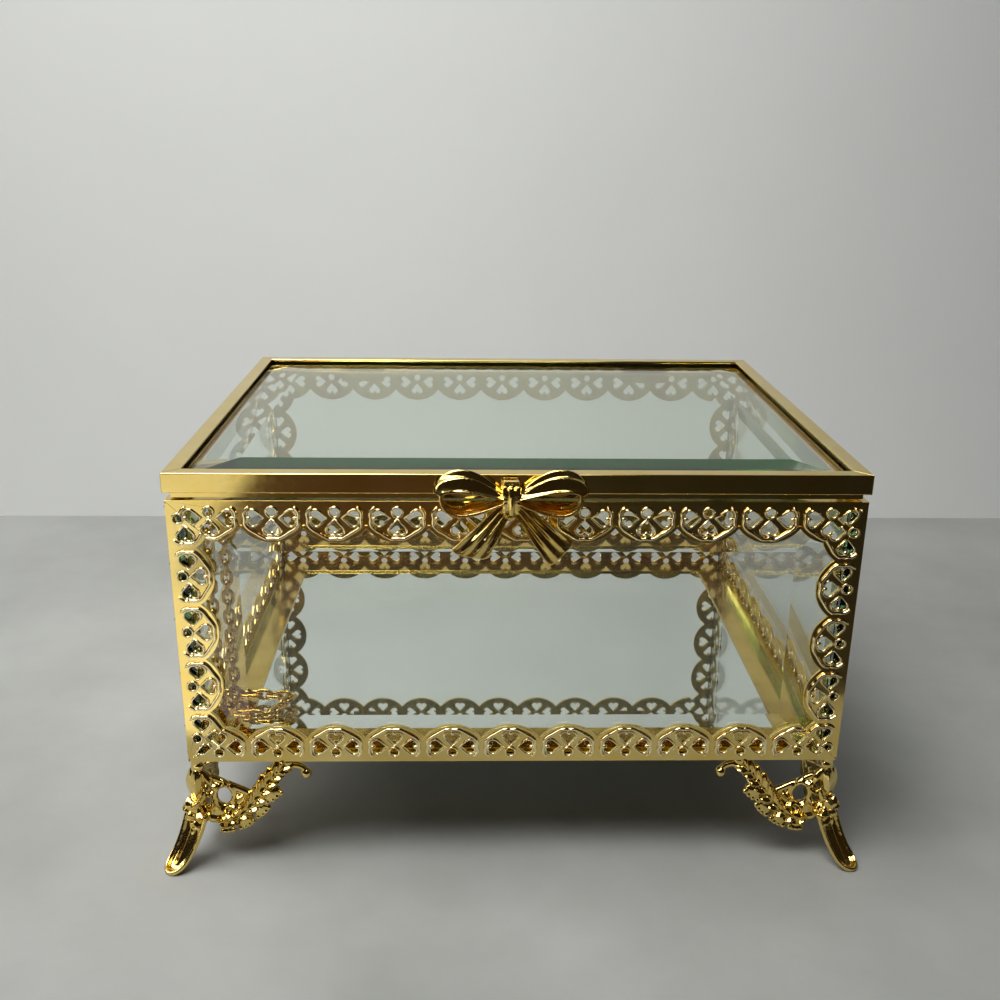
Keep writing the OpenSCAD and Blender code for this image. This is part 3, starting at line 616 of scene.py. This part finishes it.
def foot_eye(shape):
    """The round opening: a strut over it, its ring with a crest of small leaves, and the web under it."""
    y = FOOT_Y
    rod(shape, [(2.4, y, -4.6, 1.0), (6.4, y + 0.2, -6.4, 0.9), (10.6, y, -8.4, 0.95), (15.2, y, -10.8, 1.1)])
    ring = [Vector((FOOT_EYE[0] + 0.9 * FOOT_EYE_R * math.cos(a), y - 0.3,
                    FOOT_EYE[1] + 1.15 * FOOT_EYE_R * math.sin(a)))
            for a in [2 * math.pi * i / 24 for i in range(24)]]
    verts, faces = tube(ring, 0.95, 8, True, Y_AXIS)
    shape.add(verts, faces)
    for a in CREST:
        x = FOOT_EYE[0] + 2.9 * math.cos(math.radians(a))
        z = FOOT_EYE[1] + 3.2 * math.sin(math.radians(a))
        leaflet(shape, x, z, math.radians(a + 62), 3.4, 1.8, y - 0.7, 1.1)
    ball(shape, (7.2, y + 0.3, -16.6), (5.2, 1.1, 2.6))
    ball(shape, (13.0, y + 0.3, -14.2), (2.8, 1.1, 3.8), Matrix.Rotation(math.radians(38), 3, "Y"))


def foot_branch(shape):
    """The branch with its leaflets in pairs, as on an ear of wheat."""
    y = FOOT_Y
    rod(shape, [(x, y - 0.1, z, STEM_R - STEM_TAPER * i) for i, (x, z) in enumerate(FOOT_STEM)])
    stem = smooth_path(FOOT_STEM, 5)
    for i in range(3, len(stem) - 3, 3):
        x, z = stem[i]
        ahead = stem[i + 1]
        run = math.atan2(ahead[1] - z, ahead[0] - x)
        grow = 1.08 - 0.5 * abs(i / len(stem) - 0.5)
        for lean, long, wide in STEM_LEAVES:
            leaflet(shape, x - 0.4 * math.cos(run), z - 0.4 * math.sin(run), run + math.radians(lean),
                    long * grow, wide * grow, y - 0.8, 1.5)


def foot_scroll(shape):
    """The scroll that ends in a ball, and the lug on the rail."""
    y = FOOT_Y
    rod(shape, [(22.6, y, -4.0, 1.6), (25.2, y, -2.3, 1.4), (28.2, y, -2.0, 1.05), (30.2, y, -2.8, 0.95),
                (31.2, y, -4.2, 1.0)])
    ball(shape, (31.2, y - 0.1, -4.5), (1.5, 1.5, 1.5))
    ball(shape, (25.2, y, -1.0), (2.8, 1.5, 1.6))
    leaflet(shape, 22.0, -4.2, math.radians(22), 6.2, 2.6, y - 0.8, 1.3)


def foot_leaf(shape):
    """The scalloped leaf below the branch, with beads along its lobes."""
    y = FOOT_Y
    rod(shape, [(22.6, y, -9.0, 0.9), (19.2, y - 0.1, -12.6, 1.3), (15.6, y - 0.1, -16.0, 1.4),
                (11.2, y, -18.4, 1.3), (6.8, y, -19.4, 1.2)])
    for x, z, long, wide, turn in FOOT_LOBES:
        lean = Matrix.Rotation(math.radians(-turn), 3, "Y")
        ball(shape, (x, y - 0.3, z), (long, wide, wide), lean)
        for k in LOBE_BEADS:
            edge = lean @ Vector((k * long, -0.9, -wide * (0.95 - 0.3 * abs(k))))
            small_bead(shape, Vector((x, y - 0.3, z)) + edge, BEAD_R)


def foot_plate():
    plate = Shape()
    foot_post(plate)
    foot_eye(plate)
    foot_branch(plate)
    foot_scroll(plate)
    foot_leaf(plate)
    return plate


def foot_rosette():
    """Rosette of leaves and beads where the two plates and the pad meet."""
    local = Shape()
    ball(local, (0, 0, 0), (3.4, 2.6, 3.6))
    for i in range(ROSETTE_LEAVES):
        a = 2 * math.pi * i / ROSETTE_LEAVES + 0.25
        leaflet(local, 0.9 * math.cos(a), 0.9 * math.sin(a), a, 4.2, 3.0, -1.9, 1.4)
        b = a + math.pi / ROSETTE_LEAVES
        small_bead(local, (3.0 * math.cos(b), -1.8, 3.0 * math.sin(b)), ROSETTE_BEAD_R)
    ball(local, (0, -3.1, 0), (1.3, 1.1, 1.3))
    return local.moved(Matrix.Translation((1.6, 1.6, -16.6)) @ Matrix.Rotation(math.radians(-45), 4, "Z"))


# Rim of the pad in the plane of its curve: distance out from the corner, and height under the body
PAD_CURVE = [Vector((-0.6, -15.5)), Vector((3.64, -28.0)), Vector((9.9, -30.2))]
PAD_W = 7.6
PAD_T = 2.5
PAD_HOLLOW = 1.35
# Share of the pad's length at which its end begins to be round
PAD_ROUND = 0.62
# Direction in which the front left foot's pad points
PAD_TURN = math.radians(225)


def pad_height(u, t, full):
    """Height of the pad's upper face over its rim: a round rim, two hollows and a ridge between them."""
    past = max(0.0, (t - PAD_ROUND) / (1 - PAD_ROUND))
    inside = 1 - math.hypot(past, u * full)
    step = min(1.0, max(0.0, (inside - 0.13) / 0.22))
    hollow = step * step * (3 - 2 * step)
    edge = max(0.0, 1 - inside / 0.12)
    ridge = 0.85 * max(0.0, 1 - (t / 0.78) ** 4) * math.exp(-(u / 0.24) ** 2)
    return -PAD_HOLLOW * hollow * (1 - ridge) - 0.5 * (1 - math.sqrt(max(0.0, 1 - edge * edge)))


def foot_pad():
    """The pad that carries the foot: a tongue that curves out from the corner, hollow, with a raised rim."""
    across, under, side, tip = 36, 12, 22, 20
    stops = [PAD_ROUND * k / side for k in range(side)]
    stops += [PAD_ROUND + (1 - PAD_ROUND) * math.sin(math.radians(89.2 * k / tip)) for k in range(tip + 1)]
    verts = []
    a, b, c = PAD_CURVE
    for t in stops:
        place = (1 - t) ** 2 * a + 2 * t * (1 - t) * b + t * t * c
        run = ((1 - t) * (b - a) + t * (c - b)).normalized()
        full = 1.0 if t < PAD_ROUND else math.sqrt(max(0.0, 1 - ((t - PAD_ROUND) / (1 - PAD_ROUND)) ** 2))
        half = PAD_W / 2 * (1 + 0.3 * max(0.0, 1 - t / PAD_ROUND)) * full
        profile = [(-1 + 2 * q / across, True) for q in range(across + 1)]
        profile += [(math.cos(math.pi * q / under), False) for q in range(under + 1)]
        for u, top in profile:
            sole = -1.0 - (PAD_T - 1.0) * full * math.sqrt(max(0.0, 1 - u * u)) ** 1.6
            h = pad_height(u, t, full) if top else sole
            verts.append(Vector((place.x - run.y * h, half * u, place.y + run.x * h)))
    n = across + under + 2
    faces = []
    for i in range(len(stops) - 1):
        for k in range(n):
            m = (k + 1) % n
            faces.append((i * n + k, i * n + m, (i + 1) * n + m, (i + 1) * n + k))
    faces.append(tuple(range(n - 1, -1, -1)))
    faces.append(tuple((len(stops) - 1) * n + k for k in range(n)))
    turn = Matrix.Rotation(PAD_TURN, 4, "Z")
    return [turn @ v for v in verts], faces


def foot_mesh():
    """Two mirrored leaf plates and the rosette between them."""
    plate = foot_plate()
    swap_x_and_y = Matrix(((0, 1, 0, 0), (1, 0, 0, 0), (0, 0, 1, 0), (0, 0, 0, 1)))
    other = plate.moved(swap_x_and_y)
    rosette = foot_rosette()
    shape = Shape()
    shape.add(plate.verts, plate.faces)
    shape.add(other.verts, [tuple(reversed(f)) for f in other.faces])
    shape.add(rosette.verts, rosette.faces)
    return shape


def join(piece, verts, faces):
    """Adds a closed skin, given in millimetres, to a piece."""
    work = bmesh.new()
    work.from_mesh(piece.data)
    made = [work.verts.new(v * MM) for v in verts]
    fresh = [work.faces.new([made[i] for i in f]) for f in faces]
    bmesh.ops.recalc_face_normals(work, faces=fresh)
    for face in fresh:
        face.smooth = True
    work.to_mesh(piece.data)
    work.free()


def feet():
    shape = foot_mesh()
    first = new_object("foot_casting", shape.verts, shape.faces, CAST, None)
    fuse(first, 0.2, 2)
    join(first, *foot_pad())
    for v in first.data.vertices:
        v.co.z = min(max(v.co.z, -BODY_Z * MM), 0.0)
    for i, corner in enumerate(CORNERS):
        turn = Matrix.Rotation(math.pi / 2 * i, 4, "Z")
        half = (BODY_W / 2, BODY_D / 2) if i % 2 == 0 else (BODY_D / 2, BODY_W / 2)
        move = Matrix.Translation(Vector((-half[0], -half[1], BODY_Z)) * MM)
        mesh = first.data.copy()
        mesh.name = "cast_foot_" + corner
        mesh.transform(turn @ move)
        piece = bpy.data.objects.new("cast_foot_" + corner, mesh)
        bpy.context.scene.collection.objects.link(piece)
        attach(piece, "casket_body")
        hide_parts("foot_" + corner)
    bpy.data.objects.remove(first)


# ---------------------------------------------------------------- bow

BOW_X = -2.2
BOW_Z = LID_Z - 0.25
BOW_DEPTH = 4.6
BOW_GAP = 0.9
BOW_Y = -BODY_D / 2 - BOW_GAP - BOW_DEPTH
LOOP_L = 18.4
LOOP_RISE = 6.2
LOOP_DROP = 5.0
LOOP_T = 0.85
LOOP_TILT = -4
PLEAT = 0.8
PUFF = 1.3
TAIL_T = 1.0
KNOT_HALF_W = 1.1
# The two tails: turn from straight down in degrees, length, width and slant of the end
TAILS = ((36, 18.0, 8.8, -1.9), (-42, 19.2, 8.8, -0.4))


def sheet_faces(rows, across, base):
    """Faces of a closed sheet: its outer points in rows from 0, and its inner points in rows from base."""
    n = across + 1
    faces = []
    for i in range(rows):
        for k in range(across):
            a, b, c, d = i * n + k, i * n + k + 1, (i + 1) * n + k + 1, (i + 1) * n + k
            faces.append((a, b, c, d))
            faces.append((base + d, base + c, base + b, base + a))
        for k in (0, across):
            a, d = i * n + k, (i + 1) * n + k
            quad = (a, d, base + d, base + a)
            faces.append(quad if k == 0 else tuple(reversed(quad)))
    for i in (0, rows):
        for k in range(across):
            a, b = i * n + k, i * n + k + 1
            quad = (a, base + a, base + b, b)
            faces.append(quad if i == 0 else tuple(reversed(quad)))
    return faces


def bow_loop(shape, side):
    """One loop of ribbon: its upper band leans forward in pleats, and its lower band closes the loop."""
    around, across = 56, 18
    turn = Matrix.Rotation(math.radians(LOOP_TILT), 3, "Y")
    outer, inner = [], []
    for i in range(around + 1):
        a = math.radians(7 + 346 * i / around)
        reach = LOOP_L * math.sin(a / 2)
        upper = a < math.pi
        for k in range(across + 1):
            w = k / across
            front = Vector((reach * 0.96, (LOOP_RISE * 0.22 if upper else LOOP_DROP) * math.sin(a)))
            back = Vector((reach, (LOOP_RISE if upper else LOOP_DROP) * math.sin(a)))
            p = front.lerp(back, w)
            out = p - Vector((LOOP_L * 0.6, 0.0))
            out = out.normalized() if out.length > 1e-6 else Vector((1, 0))
            fade = min(1.0, 1.6 * math.sin(a / 2) ** 0.8)
            wave = math.cos(2 * math.pi * 2.5 * w + 0.6 * math.sin(a))
            pleat = PLEAT * wave * fade * (1 - math.sin(a / 2) ** 3)
            puff = PUFF * math.sin(math.pi * w) * fade
            q = p + out * (pleat + puff if upper else 0.25 * pleat)
            r = q - out * LOOP_T
            y = BOW_DEPTH * w - (0.35 * math.sin(math.pi * w) if upper else 0.0)
            outer.append(turn @ Vector((q.x, y, q.y)))
            inner.append(turn @ Vector((r.x, y, r.y)))
    verts = outer + inner
    faces = sheet_faces(around, across, len(outer))
    if side < 0:
        verts = [Vector((-v.x, v.y, v.z)) for v in verts]
        faces = [tuple(reversed(f)) for f in faces]
    shape.add(verts, faces)


def bow_tail(shape, tilt, length, width, slant):
    """A pleated tail that widens from the knot to its slanted end."""
    down, across = 22, 30
    turn = Matrix.Rotation(math.radians(tilt), 3, "Y")
    front, back = [], []
    for i in range(down + 1):
        s = i / down
        half = KNOT_HALF_W + (width / 2 - KNOT_HALF_W) * s ** 0.85
        for k in range(across + 1):
            u = -1 + 2 * k / across
            fold = 0.85 * (1 - s ** 1.5) * math.cos(3 * math.pi * u) - 0.35 * (1 - u * u)
            sag = 0.9 * math.sin(math.pi * s) - 0.2
            y = 1.9 - 1.7 * s + fold - sag * 0.6
            z = -length * s - slant * u * s + 1.1 * u ** 8 * s ** 6
            front.append(turn @ Vector((half * u, y, z)))
            back.append(turn @ Vector((half * u, y + TAIL_T, z)))
    shape.add(front + back, sheet_faces(down, across, len(front)))


def bow_knot(shape):
    """The knot with its three cords, the bead under it, and the block that joins it to the lid's front."""
    ball(shape, (0, 2.1, 0), (1.9, 1.9, 3.4))
    for x in (-1.5, 0.0, 1.5):
        y = abs(x) * 0.4
        rod(shape, [(x * 1.1, 0.9 + y, -3.6, 0.66), (x * 0.95, 0.4 + y, -1.4, 0.84),
                    (x * 0.95, 0.3 + y, 1.2, 0.86), (x * 1.15, 0.9 + y, 3.3, 0.7)], 8)
    ball(shape, (-0.4, 1.6, -4.4), (0.95, 0.95, 0.95))
    shape.add(*block((-2.0, 2.0, 0.6), (2.0, -BODY_D / 2 - 0.4 - BOW_Y, 4.6)))


def bow():
    shape = Shape()
    for side in (1, -1):
        bow_loop(shape, side)
    for tail in TAILS:
        bow_tail(shape, *tail)
    bow_knot(shape)
    moved = shape.moved(Matrix.Translation((BOW_X, BOW_Y, BOW_Z)))
    piece = new_object("ribbon_bow", moved.verts, moved.faces, CAST, None)
    fuse(piece, 0.17, 2)
    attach(piece, "lid")
    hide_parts("bow_knob")


# ---------------------------------------------------------------- camera, floor and light

CAMERA_PLACE = Vector((-11.96, -326.44, 195.24)) * MM
CAMERA_YAW = math.radians(-1.575)
CAMERA_PITCH = math.radians(19.137)
CAMERA_ROLL = math.radians(0.682)
CAMERA_LENS = 39.37
WALL_Y = 0.209
FLOOR_HALF = 1500
# Blocks that lie before the object, outside the picture, for its front to reflect: a wooden board, near-black
# cards and white cards
BOARD = [((-138, -700, 0), (46, -262, 2))]
DARK_CARDS = [((46, -700, 0), (620, -262, 2)), ((104, -262, 0), (620, -160, 2))]
CARD = [((-480, -600, 0), (-143, -262, 1)), ((-480, -262, 0), (-100, -134, 1))]

# Tones of the stage, from darker to lighter
STONE = ((0.23, 0.235, 0.22), (0.30, 0.305, 0.29))
WOOD = ((0.045, 0.022, 0.010), (0.075, 0.036, 0.015))
DARK_CARD_TONES = ((0.012, 0.010, 0.008), (0.020, 0.016, 0.012))
CARD_WHITE = ((0.78, 0.78, 0.74), (0.84, 0.84, 0.80))
PAINT = ((0.74, 0.755, 0.74), (0.80, 0.815, 0.80))
BACKDROP = (0.50, 0.51, 0.50, 1)
# The room that the metal reflects is dark before the object and pale behind it
ROOM = [(0.0, (0.020, 0.014, 0.010)), (1.0, (0.34, 0.35, 0.34))]
# Lamps: name, place and aim in metres, width and height, power in watts, spread in degrees, colour
LAMPS = [
    ("window", (-0.88, 0.00, 0.72), (0, 0.02, 0.06), (0.85, 0.55), 3.0, 120, (1.0, 0.99, 0.96)),
    ("ceiling", (-0.26, -0.20, 0.76), (-0.13, -0.18, 0), (0.6, 0.4), 2.5, 100, (1, 1, 1)),
    ("wall_wash", (-0.12, -0.20, 0.72), (0.05, 0.209, 0.16), (0.5, 0.2), 0.62, 80, (1, 1, 1)),
]
# Light runs from edge to edge inside the lid's pane, which needs many bounces
BOUNCES = 72


def camera():
    """The camera of the photograph, from its place and its three turns."""
    forward = Vector((-math.sin(CAMERA_YAW) * math.cos(CAMERA_PITCH),
                      math.cos(CAMERA_YAW) * math.cos(CAMERA_PITCH),
                      -math.sin(CAMERA_PITCH)))
    level = Vector((math.cos(CAMERA_YAW), math.sin(CAMERA_YAW), 0))
    above = level.cross(forward)
    right = math.cos(CAMERA_ROLL) * level + math.sin(CAMERA_ROLL) * above
    up = -math.sin(CAMERA_ROLL) * level + math.cos(CAMERA_ROLL) * above
    data = bpy.data.cameras.new("camera")
    data.sensor_width = 36
    data.lens = CAMERA_LENS
    data.clip_start = 0.01
    piece = bpy.data.objects.new("camera", data)
    piece.matrix_world = Matrix((
        (right.x, up.x, -forward.x, CAMERA_PLACE.x),
        (right.y, up.y, -forward.y, CAMERA_PLACE.y),
        (right.z, up.z, -forward.z, CAMERA_PLACE.z),
        (0, 0, 0, 1)))
    bpy.context.scene.collection.objects.link(piece)
    bpy.context.scene.camera = piece


def stage_material(name, tones, scale):
    """A plain matt material with soft clouds of two tones."""
    material, tree, shader = node_material(name)
    cloud = noise_node(tree, scale, 6.0, 0.6)
    colour = ramp(tree, cloud.outputs["Fac"], [(0.35, tones[0]), (0.65, tones[1])])
    tree.links.new(colour.outputs["Color"], shader.inputs["Base Color"])
    shader.inputs["Roughness"].default_value = 0.55
    return material, tree, shader


def see_through_back(tree, shader):
    """Shows a backdrop from its front only, so that it never hides the object."""
    geometry = tree.nodes.new("ShaderNodeNewGeometry")
    clear = tree.nodes.new("ShaderNodeBsdfTransparent")
    mix = tree.nodes.new("ShaderNodeMixShader")
    tree.links.new(geometry.outputs["Backfacing"], mix.inputs["Fac"])
    tree.links.new(shader.outputs["BSDF"], mix.inputs[1])
    tree.links.new(clear.outputs["BSDF"], mix.inputs[2])
    tree.links.new(mix.outputs["Shader"], output_of(tree).inputs["Surface"])


def slabs(name, blocks, material):
    """Cards that stand for the rest of the room: only the metal's and the glass's reflections show them."""
    shape = Shape()
    for low, high in blocks:
        shape.add(*block(low, high))
    piece = new_object(name, shape.verts, shape.faces, material, None, False)
    piece.visible_camera = False
    piece.visible_diffuse = False
    piece.visible_shadow = False
    piece.visible_transmission = False
    return piece


def stage():
    """The stone floor, the pale wall behind the object, and the reflector cards."""
    wide = FLOOR_HALF
    back = WALL_Y / MM
    stone, _, _ = stage_material("floor_stone", STONE, 9.0)
    floor = new_object("floor", [(-wide, -wide, 0), (wide, -wide, 0), (wide, back, 0), (-wide, back, 0)],
                       [(0, 1, 2, 3)], stone, None, False)
    wood, _, _ = stage_material("board_wood", WOOD, 6.0)
    board = slabs("board", BOARD, wood)
    # Near-black cards, seen only in reflections, that make the gold's reflections of the room before the
    # object dark
    dark, _, _ = stage_material("near_black_card", DARK_CARD_TONES, 6.0)
    dark_cards = slabs("dark_cards", DARK_CARDS, dark)
    white, _, _ = stage_material("card_white", CARD_WHITE, 6.0)
    card = slabs("card", CARD, white)
    paint, tree, shader = stage_material("wall_paint", PAINT, 2.0)
    see_through_back(tree, shader)
    wall = new_object("wall", [(-wide, back, 0), (wide, back, 0), (wide, back, wide), (-wide, back, wide)],
                      [(0, 1, 2, 3)], paint, None, False)


def area_light(name, place, target, size, power, spread, colour):
    data = bpy.data.lights.new(name, "AREA")
    data.shape = "RECTANGLE"
    data.size, data.size_y = size
    data.energy = power
    data.spread = math.radians(spread)
    data.color = colour
    piece = bpy.data.objects.new(name, data)
    piece.location = place
    piece.rotation_euler = (Vector(target) - Vector(place)).to_track_quat("-Z", "Y").to_euler()
    bpy.context.scene.collection.objects.link(piece)


def maths(tree, operation, first, second):
    """A Math node; each value is a number or a socket."""
    node = tree.nodes.new("ShaderNodeMath")
    node.operation = operation
    for value, socket in ((first, node.inputs[0]), (second, node.inputs[1])):
        if isinstance(value, float):
            socket.default_value = value
        else:
            tree.links.new(value, socket)
    return node.outputs["Value"]


def room_world():
    """The room for reflections and soft light; seen directly or through glass it is a pale backdrop."""
    world = bpy.data.worlds.new("room")
    world.use_nodes = True
    tree = world.node_tree
    tree.nodes.clear()
    out = tree.nodes.new("ShaderNodeOutputWorld")
    sky = tree.nodes.new("ShaderNodeBackground")
    coords = tree.nodes.new("ShaderNodeTexCoord")
    parts = tree.nodes.new("ShaderNodeSeparateXYZ")
    tree.links.new(coords.outputs["Generated"], parts.inputs["Vector"])
    room = ramp(tree, parts.outputs["Y"], ROOM)
    tree.links.new(room.outputs["Color"], sky.inputs["Color"])
    backdrop = tree.nodes.new("ShaderNodeBackground")
    backdrop.inputs["Color"].default_value = BACKDROP
    path = tree.nodes.new("ShaderNodeLightPath")
    direct = maths(tree, "MAXIMUM", path.outputs["Is Camera Ray"], path.outputs["Is Transmission Ray"])
    unreflected = maths(tree, "LESS_THAN", path.outputs["Glossy Depth"], 0.5)
    shown = maths(tree, "MULTIPLY", direct, unreflected)
    mix = tree.nodes.new("ShaderNodeMixShader")
    tree.links.new(shown, mix.inputs["Fac"])
    tree.links.new(sky.outputs["Background"], mix.inputs[1])
    tree.links.new(backdrop.outputs["Background"], mix.inputs[2])
    tree.links.new(mix.outputs["Shader"], out.inputs["Surface"])
    bpy.context.scene.world = world


# ---------------------------------------------------------------- make it

camera()
dress_nodes()
lace_lines()
lid_lips()
feet()
bow()
stage()
for lamp in LAMPS:
    area_light(*lamp)
room_world()
bpy.context.scene.view_settings.view_transform = "Standard"
bpy.context.scene.cycles.max_bounces = BOUNCES
bpy.context.scene.cycles.glossy_bounces = BOUNCES
bpy.context.scene.cycles.transmission_bounces = BOUNCES
